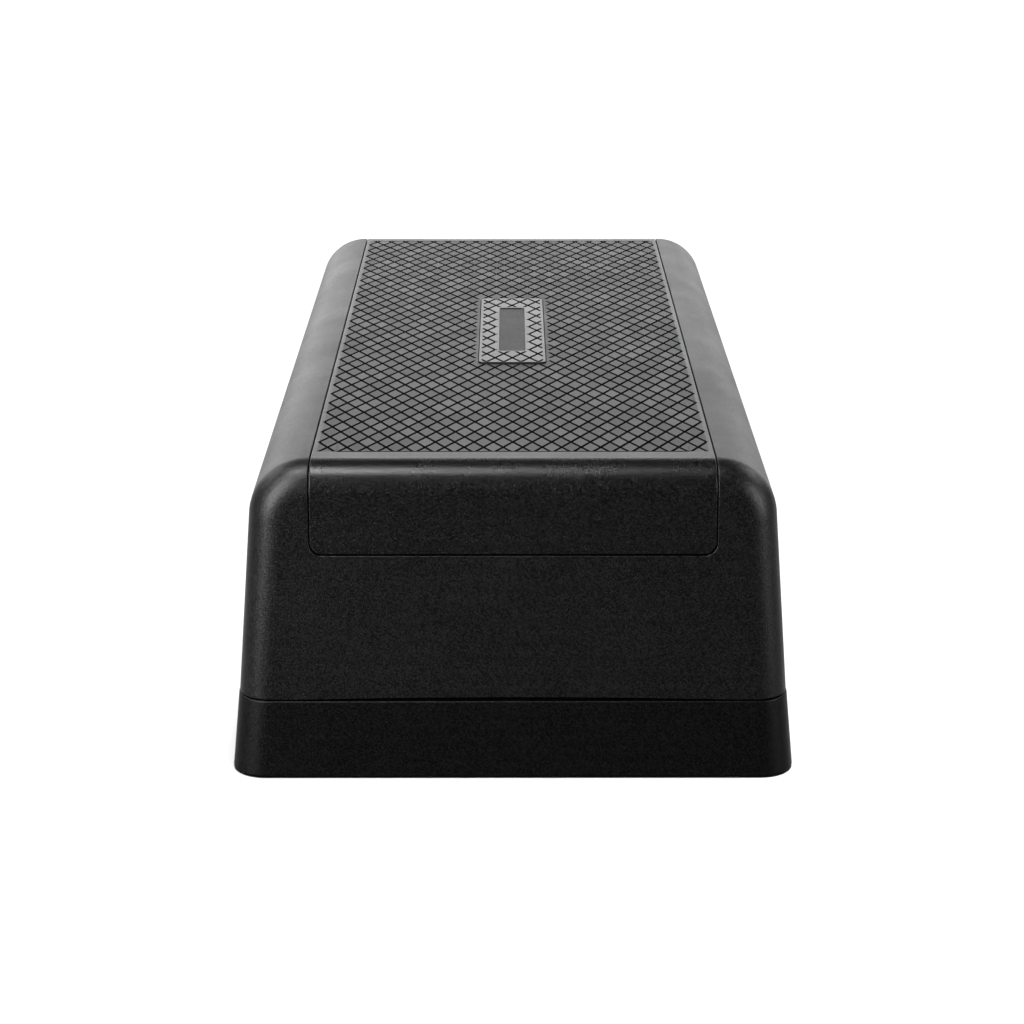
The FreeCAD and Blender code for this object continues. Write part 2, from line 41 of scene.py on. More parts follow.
# ---------------------------------------------------------------- tread panel
# All sizes in millimetres, in the part's frame. The panel lies like a saddle
# over the platform: flat on top, round over each end, then a plain tongue.

FLAT_END = 324.16          # where the flat top meets the end rounding
TOP = 200.0                # height of the panel's face
END_RADIUS = 21.0
END_ANGLE = math.radians(90.0 - 4.271)
HALF_WIDTH = 125.0
THICK = 4.0
TONGUE_LOW = 144.8
TONGUE_CORNER = 7.0
EDGE_ROUND = 0.6

ARC_END = FLAT_END + END_RADIUS * END_ANGLE
LOW_START = TOP - END_RADIUS + END_RADIUS * math.cos(END_ANGLE)
HALF_RUN = ARC_END + (LOW_START - TONGUE_LOW) / math.sin(END_ANGLE)

# Diamond lattice: pitch across and along, and the place of one diamond's middle.
PX, PY, MID_Y = 12.21, 22.75, -6.69
HX, HY = PX / 2, PY / 2
RUN_X = HX / math.hypot(HX, HY)
RUN_Y = HY / math.hypot(HX, HY)

# Groove section: half width and height under the face, from the floor up.
GROOVE = ((0.90, -1.4), (1.00, -0.16), (1.13, 0.0))
EDGE_SHARE = 0.72          # the groove along the tread's ends is narrower

TREAD_X = 10 * PX
TREAD_Y0, TREAD_Y1 = -311.7, 316.5
FRONT_CLOSED, BACK_CLOSED = 108.9, 118.7

# Centre plate: its border in the tread, its raised outline and its own tread.
PLATE_X, PLATE_Y0, PLATE_Y1 = 26.9, -100.1, 98.0
PLATE_MID, PLATE_HX, PLATE_HY = -1.0, 24.3, 98.1
PLATE_UP = 1.1
INNER_X, INNER_Y0, INNER_Y1 = 21.5, MID_Y - 8 * HY, MID_Y + 9 * HY
PAD_X, PAD_Y0, PAD_Y1 = PX, -68.5, 67.0
BED_X, BED_Y0, BED_Y1, BED_DEPTH = 9.5, -66.6, 65.1, 0.6

# Material slots. The last one, for groove floors, the lower groove walls and the foot of the plate's bevel, has a
# darker tone: painted shade in these recesses.
TREAD, SKIN, PLATE, BED, MARGIN, DEEP_SHADE = 0, 1, 2, 3, 4, 5


class Mould:
    """Collects faces on shared points, each with a material number and corner normals."""

    def __init__(self):
        self.points, self.index = [], {}
        self.faces, self.kinds, self.normals = [], [], []

    def point(self, p):
        key = tuple(int(round(v * 2000)) for v in p)
        if key not in self.index:
            self.index[key] = len(self.points)
            self.points.append(Vector(p))
        return self.index[key]

    def face(self, corners, kind, towards, normals=None):
        ids, own = [], []
        for i, c in enumerate(corners):
            k = self.point(c)
            if k in ids:
                continue
            ids.append(k)
            own.append(normals[i] if normals else None)
        if len(ids) < 3:
            return
        flat = Vector((0, 0, 0))
        for a, b in zip(ids, ids[1:] + ids[:1]):
            flat += self.points[a].cross(self.points[b])
        if flat.length < 1e-7:
            return
        flat.normalize()
        if flat.dot(towards) < 0:
            ids.reverse()
            own.reverse()
            flat.negate()
        self.faces.append(ids)
        self.kinds.append(kind)
        self.normals.append([n.normalized() if n else flat for n in own])

    def fill(self, outer, inner, z, kind):
        """A flat ring at height z between two edges, each given as its four sides."""
        for a, b in zip(outer, inner):
            self.face([(*p, z) for p in a + b[::-1]], kind, UP)

    def build(self, name, materials):
        mesh = bpy.data.meshes.new(name)
        mesh.from_pydata([p * MM for p in self.points], [], self.faces)
        for m in materials:
            mesh.materials.append(m)
        mesh.polygons.foreach_set("material_index", self.kinds)
        mesh.polygons.foreach_set("use_smooth", [True] * len(self.faces))
        mesh.update()
        mesh.normals_split_custom_set([tuple(n) for f in self.normals for n in f])
        obj = bpy.data.objects.new(name, mesh)
        bpy.context.scene.collection.objects.link(obj)
        return obj


UP, DOWN = Vector((0, 0, 1)), Vector((0, 0, -1))


def cut(poly, shares, axis, value, sign, share):
    """Keeps the side of a convex polygon where sign * (axis - value) >= 0."""
    out, out_shares = [], []
    n = len(poly)
    for i in range(n):
        a, b = poly[i], poly[(i + 1) % n]
        da, db = sign * (a[axis] - value), sign * (b[axis] - value)
        a_in, b_in = da >= -1e-7, db >= -1e-7
        if a_in:
            out.append(a)
            out_shares.append(shares[i])
        if a_in != b_in:
            t = da / (da - db)
            p = [a[0] + t * (b[0] - a[0]), a[1] + t * (b[1] - a[1])]
            p[axis] = value
            out.append(tuple(p))
            out_shares.append(share if a_in else shares[i])
    keep = [i for i in range(len(out))
            if math.dist(out[i], out[(i + 1) % len(out)]) > 1e-5]
    return [out[i] for i in keep], [out_shares[i] for i in keep]


def inset(poly, shares, d):
    """The polygon with each edge moved in by its share of d."""
    n = len(poly)
    lines = []
    for i in range(n):
        (ax, ay), (bx, by) = poly[i], poly[(i + 1) % n]
        run = math.hypot(bx - ax, by - ay)
        ux, uy = (bx - ax) / run, (by - ay) / run
        lines.append((ax - uy * shares[i] * d, ay + ux * shares[i] * d, ux, uy))
    out = []
    for i in range(n):
        px, py, ux, uy = lines[i - 1]
        qx, qy, vx, vy = lines[i]
        t = ((qx - px) * vy - (qy - py) * vx) / (ux * vy - uy * vx)
        out.append((px + ux * t, py + uy * t))
    return out


def diamond(mould, poly, shares, z, kind):
    """One block of the tread: groove floor, walls, edge bevel and top."""
    n = len(poly)
    rings = [(inset(poly, shares, d), z + h) for d, h in GROOVE]
    floor_d, floor_z = GROOVE[0][0], z + GROOVE[0][1]
    for i in range(n):
        j = (i + 1) % n
        if shares[i] == 0:
            continue
        strip = [poly[i], poly[j]]
        if shares[j] == 0:
            strip.append(along(poly[j], rings[0][0][j], floor_d))
        strip += [rings[0][0][j], rings[0][0][i]]
        if shares[i - 1] == 0:
            strip.append(along(poly[i], rings[0][0][i], floor_d))
        # The groove floor and the wall's lower band take the painted-shade material.
        mould.face([(*p, floor_z) for p in strip], DEEP_SHADE, UP)
        for (low, zl), (high, zh), wall in zip(rings, rings[1:], (DEEP_SHADE, kind)):
            mould.face([(*low[i], zl), (*low[j], zl), (*high[j], zh), (*high[i], zh)], wall, UP)
    mould.face([(*p, rings[-1][1]) for p in rings[-1][0]], kind, UP)


def along(a, b, d):
    run = math.dist(a, b)
    return (a[0] + (b[0] - a[0]) * d / run, a[1] + (b[1] - a[1]) * d / run)


def field(mould, x0, x1, y0, y1, z, kind, closed=None):
    """The diamonds in one rectangle. closed tells the share of an end groove for a diamond."""
    for n in range(math.floor((y0 - MID_Y) / HY) - 1, math.ceil((y1 - MID_Y) / HY) + 2):
        for m in range(math.floor(x0 / HX) - 1, math.ceil(x1 / HX) + 2):
            if (m + n) % 2:
                continue
            cx, cy = m * HX, MID_Y + n * HY
            poly = [(cx + HX, cy), (cx, cy + HY), (cx - HX, cy), (cx, cy - HY)]
            shares = [1.0] * 4
            ends = closed(m) if closed else (0.0, 0.0)
            for axis, value, sign, share in ((0, x0, 1, 0.0), (0, x1, -1, 0.0),
                                             (1, y0, 1, ends[0]), (1, y1, -1, ends[1])):
                if len(poly) > 2:
                    poly, shares = cut(poly, shares, axis, value, sign, share)
            if len(poly) < 3:
                continue
            area = sum(a[0] * b[1] - a[1] * b[0] for a, b in zip(poly, poly[1:] + poly[:1])) / 2
            if area > 0.05:
                diamond(mould, poly, shares, z, kind)


def groove_ends(axis, value, low, high):
    """Where the lattice's grooves meet the line axis = value, between low and high."""
    found = []
    for k in range(-60, 60):
        if axis == 0:
            found += [MID_Y + PY * (k + 0.5 - value / PX), MID_Y - PY * (k + 0.5 - value / PX)]
        else:
            found += [PX * (k + 0.5 - (value - MID_Y) / PY), PX * (k + 0.5 + (value - MID_Y) / PY)]
    found = sorted(v for v in found if low + 1e-6 < v < high - 1e-6)
    return [v for i, v in enumerate(found) if i == 0 or v - found[i - 1] > 1e-6]


def border(mould, x0, x1, y0, y1, z, kind, side, stub, closed=(0.0, 0.0)):
    """The edge of a plain margin against the tread, round the given rectangle.

    side is 1 where the margin lies outside the rectangle and -1 where it lies
    inside. The grooves run a little way (stub) into the margin at the long
    sides. closed gives, for the front and back side, the half width over which
    a groove runs along the side. Returns the margin's edge at the face, side by side.
    """
    rings = [[] for _ in GROOVE]
    walls, starts = [], []
    widest = GROOVE[-1][0]

    def put(make, wall):
        for ring, (d, _) in zip(rings, GROOVE):
            ring.append(make(d))
        walls.append(wall)

    lines = ((1, y0, x0, x1, (1, 0), (0, -1), 0.0, closed[0]),
             (0, x1, y0, y1, (0, 1), (1, 0), stub, 0.0),
             (1, y1, x0, x1, (-1, 0), (0, 1), 0.0, closed[1]),
             (0, x0, y0, y1, (0, -1), (-1, 0), stub, 0.0))
    # Groove floors and the lowest band of each wall here take the painted-shade material.
    floor_d, floor_z = GROOVE[0][0], z + GROOVE[0][1]
    for axis, value, low, high, u, w, reach, shut in lines:
        forward = u[0] + u[1] > 0
        start = low if forward else high
        corner = (start, value) if axis == 1 else (value, start)
        starts.append(len(walls))
        put(lambda d, c=corner: c, False)
        factor = 1 / RUN_X if axis == 0 else 1 / RUN_Y
        ends = groove_ends(axis, value, low, high)
        if not forward:
            ends.reverse()
        spots = [(v, value) if axis == 1 else (value, v) for v in ends]

        def at(e, a, o, u=u, w=w):
            """A point a along the side and o out of the tread from groove end e."""
            return (e[0] + u[0] * a + side * w[0] * o, e[1] + u[1] * a + side * w[1] * o)

        run = [e for e in spots if shut and abs(e[0]) <= shut]
        for e in spots:
            if e in run:
                if e is run[0]:
                    put(lambda d, e=e: at(e, -factor * d, 0), True)
                    put(lambda d, e=e: at(e, -factor * d, EDGE_SHARE * d), True)
                    mould.face([(*p, floor_z) for p in (
                        at(e, -factor * floor_d, 0), at(e, -floor_d, 0), e,
                        at(e, 0, EDGE_SHARE * floor_d),
                        at(e, -factor * floor_d, EDGE_SHARE * floor_d))], DEEP_SHADE, UP)
                else:
                    mould.face([(*p, floor_z) for p in (
                        before, e, at(e, 0, EDGE_SHARE * floor_d),
                        at(before, 0, EDGE_SHARE * floor_d))], DEEP_SHADE, UP)
                put(lambda d, e=e: at(e, 0, EDGE_SHARE * d), True)
                if e is run[-1]:
                    put(lambda d, e=e: at(e, factor * d, EDGE_SHARE * d), True)
                    put(lambda d, e=e: at(e, factor * d, 0), False)
                    mould.face([(*p, floor_z) for p in (
                        at(e, factor * floor_d, 0), at(e, floor_d, 0), e,
                        at(e, 0, EDGE_SHARE * floor_d),
                        at(e, factor * floor_d, EDGE_SHARE * floor_d))], DEEP_SHADE, UP)
                before = e
            elif reach:
                put(lambda d, e=e: at(e, -factor * d, 0), True)
                put(lambda d, e=e: at(e, -d, 0), True)
                put(lambda d, e=e: at(e, -d, reach - widest + d), True)
                put(lambda d, e=e: at(e, d, reach - widest + d), True)
                put(lambda d, e=e: at(e, d, 0), True)
                put(lambda d, e=e: at(e, factor * d, 0), False)
                far = reach - widest + floor_d
                mould.face([(*p, floor_z) for p in (
                    at(e, -floor_d, 0), at(e, -floor_d, far), at(e, floor_d, far),
                    at(e, floor_d, 0), e)], DEEP_SHADE, UP)
            else:
                put(lambda d, e=e: at(e, -factor * d, 0), True)
                put(lambda d, e=e: at(e, -d, 0), True)
                put(lambda d, e=e: e, True)
                put(lambda d, e=e: at(e, d, 0), True)
                put(lambda d, e=e: at(e, factor * d, 0), False)
    n = len(walls)
    centre = Vector(((x0 + x1) / 2, (y0 + y1) / 2, 0))
    for i in range(n):
        if not walls[i]:
            continue
        j = (i + 1) % n
        for k in range(len(GROOVE) - 1):
            zl, zh = z + GROOVE[k][1], z + GROOVE[k + 1][1]
            quad = [(*rings[k][i], zl), (*rings[k][j], zl), (*rings[k + 1][j], zh), (*rings[k + 1][i], zh)]
            middle = sum((Vector(q) for q in quad), Vector()) / 4
            # Walls lean open, so they face up; an upright one faces the tread.
            lean = Vector((middle.x - centre.x, middle.y - centre.y, 0)) * -side * 1e-6
            mould.face(quad, kind if k else DEEP_SHADE, UP + lean)
    top = rings[-1]
    return [top[a:b] + [top[b % n]] for a, b in zip(starts, starts[1:] + [n])]


def outline(hx, hy, r, cy, steps=8):
    """A rounded rectangle, counter-clockwise, as (point, outward direction)."""
    out = []
    for k, (sx, sy) in enumerate(((1, 1), (-1, 1), (-1, -1), (1, -1))):
        for i in range(steps + 1):
            a = math.pi / 2 * (k + i / steps)
            o = (math.cos(a), math.sin(a))
            out.append(((sx * (hx - r) + r * o[0], cy + sy * (hy - r) + r * o[1]), o))
    return out


def sides(loop):
    """The four sides of a rounded rectangle: front, right, back, left, parted in the corners."""
    size = len(loop) // 4
    corners = [[p for p, _ in loop[k * size:(k + 1) * size]] for k in range(4)]
    half = size // 2
    return [corners[a][half:] + corners[b][:half + 1] for a, b in ((2, 3), (3, 0), (0, 1), (1, 2))]


def on_panel(x, s, depth):
    """A point at distance s along the saddle, depth under its face, and the face's direction there."""
    sign = -1.0 if s < 0 else 1.0
    run = abs(s)
    if run <= FLAT_END:
        return Vector((x, s, TOP - depth)), Vector((0, 0, 1))
    angle = min((run - FLAT_END) / END_RADIUS, END_ANGLE)
    beyond = max(run - ARC_END, 0.0)
    r = END_RADIUS - depth
    y = FLAT_END + r * math.sin(angle) + beyond * math.cos(angle)
    z = TOP - END_RADIUS + r * math.cos(angle) - beyond * math.sin(angle)
    return Vector((x, sign * y, z)), Vector((0, sign * math.sin(angle), math.cos(angle)))


def heading(s):
    """The direction of growing s at s."""
    sign = -1.0 if s < 0 else 1.0
    angle = min(max(abs(s) - FLAT_END, 0.0) / END_RADIUS, END_ANGLE)
    return Vector((0, math.cos(angle), -sign * math.sin(angle)))


def panel_skin(mould, hole):
    """Everything of the panel but its tread: margins, rounded ends, tongues, edge and underside."""
    steps = 24
    arc = [FLAT_END + END_RADIUS * END_ANGLE * i / steps for i in range(steps + 1)]
    rim = []                                   # (x, s, outward x, outward s), counter-clockwise
    side = sorted([-s for s in arc] + arc)
    c = TONGUE_CORNER
    rim += [(HALF_WIDTH, s, 1.0, 0.0) for s in side]
    for i in range(9):
        a = math.pi / 2 * i / 8
        rim.append((HALF_WIDTH - c + c * math.cos(a), HALF_RUN - c + c * math.sin(a), math.cos(a), math.sin(a)))
    for i in range(9):
        a = math.pi / 2 * (1 + i / 8)
        rim.append((-HALF_WIDTH + c + c * math.cos(a), HALF_RUN - c + c * math.sin(a), math.cos(a), math.sin(a)))
    rim += [(-HALF_WIDTH, s, -1.0, 0.0) for s in reversed(side)]
    for i in range(9):
        a = math.pi / 2 * (2 + i / 8)
        rim.append((-HALF_WIDTH + c + c * math.cos(a), -HALF_RUN + c + c * math.sin(a), math.cos(a), math.sin(a)))
    for i in range(9):
        a = math.pi / 2 * (3 + i / 8)
        rim.append((HALF_WIDTH - c + c * math.cos(a), -HALF_RUN + c + c * math.sin(a), math.cos(a), math.sin(a)))

    def ring(inward, depth, tilt):
        out = []
        for x, s, ox, os in rim:
            p, face = on_panel(x - ox * inward, s - os * inward, depth)
            outward = Vector((ox, 0, 0)) + heading(s) * os
            out.append((p, face * math.cos(tilt) + outward * math.sin(tilt)))
        return out

    rings = []
    for i in range(5):
        a = math.pi / 2 * i / 4
        rings.append(ring(EDGE_ROUND * (1 - math.sin(a)), EDGE_ROUND * (1 - math.cos(a)), a))
    rings.append(ring(0.0, THICK, math.pi / 2))
    n = len(rim)
    for low, high in zip(rings, rings[1:]):
        for i in range(n):
            j = (i + 1) % n
            quad = [low[i], low[j], high[j], high[i]]
            mould.face([q[0] for q in quad], SKIN, low[i][1] + high[j][1], [q[1] for q in quad])

    x_face = HALF_WIDTH - EDGE_ROUND
    corners = [(-x_face, -FLAT_END), (x_face, -FLAT_END), (x_face, FLAT_END), (-x_face, FLAT_END)]
    mould.fill([[a, b] for a, b in zip(corners, corners[1:] + corners[:1])], hole, TOP, MARGIN)
    mould.face([(x, y, TOP - THICK) for x, y in ((HALF_WIDTH, -FLAT_END), (HALF_WIDTH, FLAT_END),
                                                 (-HALF_WIDTH, FLAT_END), (-HALF_WIDTH, -FLAT_END))], SKIN, DOWN)
    for sign in (1, -1):
        for a, b in zip(arc, arc[1:]):
            for half, depth, turn in ((x_face, 0.0, 1), (HALF_WIDTH, THICK, -1)):
                quad = [on_panel(x, sign * s, depth) for x, s in ((half, a), (half, b), (-half, b), (-half, a))]
                mould.face([q[0] for q in quad], SKIN, quad[0][1] * turn, [q[1] * turn for q in quad])
        for which, turn in ((0, 1), (-1, -1)):
            ends = [rings[which][i][0] for i in range(n) if sign * rim[i][1] >= ARC_END - 1e-6]
            mould.face(ends, SKIN, on_panel(0, sign * HALF_RUN, 0)[1] * turn)
    for x in (-97.0, 97.0):
        for y in (-220.0, -110.0, 0.0, 110.0, 220.0):
            stud(mould, x, y)


def stud(mould, x, y, r=4.5, low=181.2, bore=1.6):
    """A screw boss under the panel, with its pilot hole."""
    steps = 20
    ways = [Vector((math.cos(2 * math.pi * i / steps), math.sin(2 * math.pi * i / steps), 0)) for i in range(steps)]
    middle = Vector((x, y, 0))
    for a, b in zip(ways, ways[1:] + ways[:1]):
        def ring(way, radius, z):
            return middle + way * radius + Vector((0, 0, z))
        mould.face([ring(a, r, low), ring(b, r, low), ring(b, r, TOP - THICK), ring(a, r, TOP - THICK)],
                   SKIN, a + b, [a, b, b, a])
        mould.face([ring(a, r, low), ring(b, r, low), ring(b, bore, low), ring(a, bore, low)], SKIN, DOWN)
        mould.face([ring(a, bore, low), ring(b, bore, low), ring(b, bore, 194.0), ring(a, bore, 194.0)],
                   SKIN, -a - b, [-a, -b, -b, -a])
    mould.face([middle + w * bore + Vector((0, 0, 194.0)) for w in ways], SKIN, DOWN)


def build_tread():
    mould = Mould()

    def closed(m):
        return (EDGE_SHARE if abs(m) <= 17 else 0.0, EDGE_SHARE if abs(m) <= 19 else 0.0)

    for x0, x1, y0, y1 in ((-TREAD_X, -PLATE_X, TREAD_Y0, TREAD_Y1), (PLATE_X, TREAD_X, TREAD_Y0, TREAD_Y1)):
        field(mould, x0, x1, y0, y1, TOP, TREAD, closed)
    field(mould, -PLATE_X, PLATE_X, TREAD_Y0, PLATE_Y0, TOP, TREAD, lambda m: (EDGE_SHARE, 0.0))
    field(mould, -PLATE_X, PLATE_X, PLATE_Y1, TREAD_Y1, TOP, TREAD, lambda m: (0.0, EDGE_SHARE))
    hole = border(mould, -TREAD_X, TREAD_X, TREAD_Y0, TREAD_Y1, TOP, TREAD, 1, 0.8, (FRONT_CLOSED, BACK_CLOSED))
    panel_skin(mould, hole)

    # Raised plate: a flat border, a bevel all round, then a tread of its own.
    z = TOP + PLATE_UP
    around = border(mould, -PLATE_X, PLATE_X, PLATE_Y0, PLATE_Y1, TOP, TREAD, -1, 1.1)
    levels = ((0.0, 0.0), (0.72, 0.82), (0.85, 1.0), (1.05, PLATE_UP))
    loops = [outline(PLATE_HX - i, PLATE_HY - i, 4.3 - i, PLATE_MID) for i, _ in levels]
    mould.fill(around, sides(loops[0]), TOP, TREAD)
    n = len(loops[0])
    slopes = []
    for (i0, h0), (i1, h1) in zip(levels, levels[1:]):
        slopes.append(math.atan2(h1 - h0, i1 - i0))
    for k in range(len(levels) - 1):
        z0, z1 = TOP + levels[k][1], TOP + levels[k + 1][1]
        for i in range(n):
            j = (i + 1) % n
            def lean(o, k=k):
                return Vector((o[0] * math.sin(slopes[k]), o[1] * math.sin(slopes[k]), math.cos(slopes[k])))
            quad = [(loops[k][i], z0), (loops[k][j], z0), (loops[k + 1][j], z1), (loops[k + 1][i], z1)]
            # The bevel's lowest band, at the plate's foot, takes the painted-shade material.
            mould.face([(*q[0], h) for q, h in quad],
                       PLATE if k else DEEP_SHADE, lean(loops[k][i][1]), [lean(q[1]) for q, _ in quad])
    inner = border(mould, -INNER_X, INNER_X, INNER_Y0, INNER_Y1, z, PLATE, 1, 0.55)
    mould.fill(sides(loops[-1]), inner, z, PLATE)
    for x0, x1 in ((-INNER_X, -PAD_X), (PAD_X, INNER_X)):
        field(mould, x0, x1, INNER_Y0, INNER_Y1, z, PLATE)
    field(mould, -PAD_X, PAD_X, INNER_Y0, PAD_Y0, z, PLATE)
    field(mould, -PAD_X, PAD_X, PAD_Y1, INNER_Y1, z, PLATE)
    pad = border(mould, -PAD_X, PAD_X, PAD_Y0, PAD_Y1, z, PLATE, -1, 1.5)

    # The plain bed in the middle of the plate, a little lower than the diamonds.
    half, middle = (BED_Y1 - BED_Y0) / 2, (BED_Y1 + BED_Y0) / 2
    rim = outline(BED_X, half, 2.0, middle)
    foot = outline(BED_X - 0.25, half - 0.25, 1.75, middle)
    mould.fill(pad, sides(rim), z, PLATE)
    for i in range(len(rim)):
        j = (i + 1) % len(rim)
        mould.face([(*rim[i][0], z), (*rim[j][0], z), (*foot[j][0], z - BED_DEPTH), (*foot[i][0], z - BED_DEPTH)],
                   PLATE, UP)
    mould.face([(*p, z - BED_DEPTH) for p, _ in foot], BED, UP)
    return mould


# ------------------------------------------------------------------ materials


class Paint:
    """A node material with a Principled surface, built up one node at a time."""

    def __init__(self, name):
        self.material = bpy.data.materials.new(name)
        self.material.use_nodes = True
        self.nodes = self.material.node_tree.nodes
        self.links = self.material.node_tree.links
        self.surface = self.nodes["Principled BSDF"]
        self.where = self.add("ShaderNodeTexCoord").outputs["Object"]

    def add(self, kind, **settings):
        node = self.nodes.new(kind)
        for key, value in settings.items():
            setattr(node, key, value)
        return node

    def set(self, node, **values):
        for key, value in values.items():
            node.inputs[key.replace("_", " ")].default_value = value
        return node

    def join(self, source, node, socket):
        self.links.new(source, node.inputs[socket])

    def noise(self, size, detail=3.0, rough=0.55, where=None):
        node = self.add("ShaderNodeTexNoise")
        self.set(node, Scale=1 / (size * MM), Detail=detail, Roughness=rough)
        self.join(where or self.where, node, "Vector")
        return node.outputs["Fac"]

    def pebbles(self, size, where=None, feature="F1"):
        node = self.add("ShaderNodeTexVoronoi", feature=feature)
        self.set(node, Scale=1 / (size * MM))
        self.join(where or self.where, node, "Vector")
        return node.outputs["Distance"]

    def spread(self, source, low, high, to_low, to_high):
        node = self.add("ShaderNodeMapRange")
        self.set(node, From_Min=low, From_Max=high, To_Min=to_low, To_Max=to_high)
        self.join(source, node, "Value")
        return node.outputs["Result"]

    def sum(self, a, b, share):
        node = self.add("ShaderNodeMath", operation="MULTIPLY_ADD")
        self.join(b, node, 0)
        node.inputs[1].default_value = share
        self.join(a, node, 2)
        return node.outputs[0]

    def bump(self, height, strength, depth, before=None):
        node = self.add("ShaderNodeBump")
        self.set(node, Strength=strength, Distance=depth * MM)
        self.join(height, node, "Height")
        if before:
            self.join(before, node, "Normal")
        return node.outputs["Normal"]

    def shades(self, factor, *stops):
        node = self.add("ShaderNodeValToRGB")
        ramp = node.color_ramp
        while len(ramp.elements) < len(stops):
            ramp.elements.new(0.5)
        for element, (at, colour) in zip(ramp.elements, stops):
            element.position = at
            element.color = (*colour, 1.0)
        self.join(factor, node, "Fac")
        return node.outputs["Color"]


def warped(paint, size, amount):
    """Positions pushed about a little, so that grain cells aren't regular."""
    node = paint.add("ShaderNodeTexNoise")
    paint.set(node, Scale=1 / (size * MM), Detail=2.0)
    paint.join(paint.where, node, "Vector")
    move = paint.add("ShaderNodeVectorMath", operation="MULTIPLY_ADD")
    paint.join(node.outputs["Color"], move, 0)
    move.inputs[1].default_value = (amount * MM,) * 3
    paint.join(paint.where, move, 2)
    return move.outputs[0]


def leather(name, tone, grain, depth, rough, specular, contrast):
    """Black moulded plastic with a leather grain: small pebbles of uneven tone and gloss, creases between them. The
    base colour is painted darker towards the creases, as painted shade; the rest of its change is the plastic's own
    uneven tone.
    """
    paint = Paint(name)
    s = paint.surface
    paint.set(s, Specular_IOR_Level=specular)
    where = warped(paint, grain * 2.2, grain * 0.7)
    pebble = paint.add("ShaderNodeTexVoronoi")
    paint.set(pebble, Scale=1 / (grain * MM))
    paint.join(where, pebble, "Vector")
    split = paint.add("ShaderNodeSeparateColor")
    paint.join(pebble.outputs["Color"], split, 0)
    creases = paint.noise(grain * 0.7, 2.0, 0.6)
    height = paint.sum(creases, pebble.outputs["Distance"], -0.7)
    height = paint.sum(height, split.outputs["Red"], 0.35)
    paint.join(paint.bump(height, 1.0, depth), s, "Normal")
    wide = paint.noise(45.0, 5.0, 0.6)
    # Painted shade: the base colour darkens from each pebble's middle out to the creases. The per-pebble and wide
    # changes are the plastic's own uneven tone.
    light = paint.sum(split.outputs["Green"], pebble.outputs["Distance"], -0.5)
    light = paint.sum(light, wide, 0.15)
    dark, pale = [v * (1 - contrast) for v in tone], [v * (1 + 1.5 * contrast) for v in tone]
    paint.join(paint.shades(light, (0.0, dark), (1.0, pale)), s, "Base Color")
    mixed = paint.sum(wide, split.outputs["Blue"], 0.4)
    paint.join(paint.spread(mixed, 0.3, 1.0, rough[0], rough[1]), s, "Roughness")
    return paint.material


def tread_paint(name, tone, rough, specular, vary):
    """Tread faces: fine matt texture and a gloss that differs a little from diamond to diamond."""
    paint = Paint(name)
    s = paint.surface
    paint.set(s, Specular_IOR_Level=specular)
    split = paint.add("ShaderNodeSeparateXYZ")
    paint.join(paint.where, split, 0)

    def scaled(source, by, plus):
        node = paint.add("ShaderNodeMath", operation="MULTIPLY_ADD")
        paint.join(source, node, 0)
        node.inputs[1].default_value = by
        node.inputs[2].default_value = plus
        return node.outputs[0]

    x = scaled(split.outputs["X"], 1 / (PX * MM), 0.0)
    y = scaled(split.outputs["Y"], 1 / (PY * MM), -MID_Y / PY)
    cell = paint.add("ShaderNodeCombineXYZ")
    for k, operation in enumerate(("ADD", "SUBTRACT")):
        mix = paint.add("ShaderNodeMath", operation=operation)
        paint.join(x, mix, 0)
        paint.join(y, mix, 1)
        snap = paint.add("ShaderNodeMath", operation="ROUND")
        paint.join(mix.outputs[0], snap, 0)
        paint.join(snap.outputs[0], cell, k)
    own = paint.add("ShaderNodeTexWhiteNoise", noise_dimensions="3D")
    paint.join(cell.outputs[0], own, 0)
    fine = paint.noise(0.9, 4.0, 0.65)
    wide = paint.noise(70.0, 3.0, 0.55)
    paint.join(paint.bump(fine, 0.35, 0.05), s, "Normal")
    mixed = paint.sum(own.outputs["Value"], wide, 0.9)
    mixed = paint.sum(mixed, fine, 0.5)
    paint.join(paint.spread(mixed, 0.2, 2.0, rough - vary, rough + vary), s, "Roughness")
    paint.join(paint.shades(mixed, (0.0, [v * 1.2 for v in tone]), (1.0, [v * 0.8 for v in tone])), s, "Base Color")
    return paint.material


def rubber(name, tone):
    """Matt rubber with a dusty, slightly blotched surface."""
    paint = Paint(name)
    s = paint.surface
    paint.set(s, Specular_IOR_Level=0.3)
    wide, fine = paint.noise(9.0, 4.0, 0.6), paint.noise(0.7, 3.0, 0.6)
    paint.join(paint.bump(fine, 0.3, 0.06), s, "Normal")
    paint.join(paint.shades(wide, (0.3, [v * 0.7 for v in tone]), (0.75, [v * 1.3 for v in tone])), s, "Base Color")
    paint.join(paint.spread(wide, 0.3, 0.7, 0.72, 0.9), s, "Roughness")
    return paint.material


def zinc(name):
    """Zinc-plated steel with a fine rough texture and faint clouding."""
    paint = Paint(name)
    s = paint.surface
    paint.set(s, Metallic=1.0)
    cloud, fine = paint.noise(2.5, 3.0, 0.6), paint.noise(0.25, 2.0, 0.5)
    paint.join(paint.bump(fine, 0.15, 0.02), s, "Normal")
    paint.join(paint.shades(cloud, (0.3, (0.46, 0.46, 0.47)), (0.7, (0.62, 0.61, 0.58))), s, "Base Color")
    paint.join(paint.spread(cloud, 0.3, 0.7, 0.28, 0.42), s, "Roughness")
    return paint.material


shell_paint = leather("shell_grain", (0.00075, 0.00075, 0.00077), 0.85, 0.08, (0.30, 0.42), 0.043, 1.0)
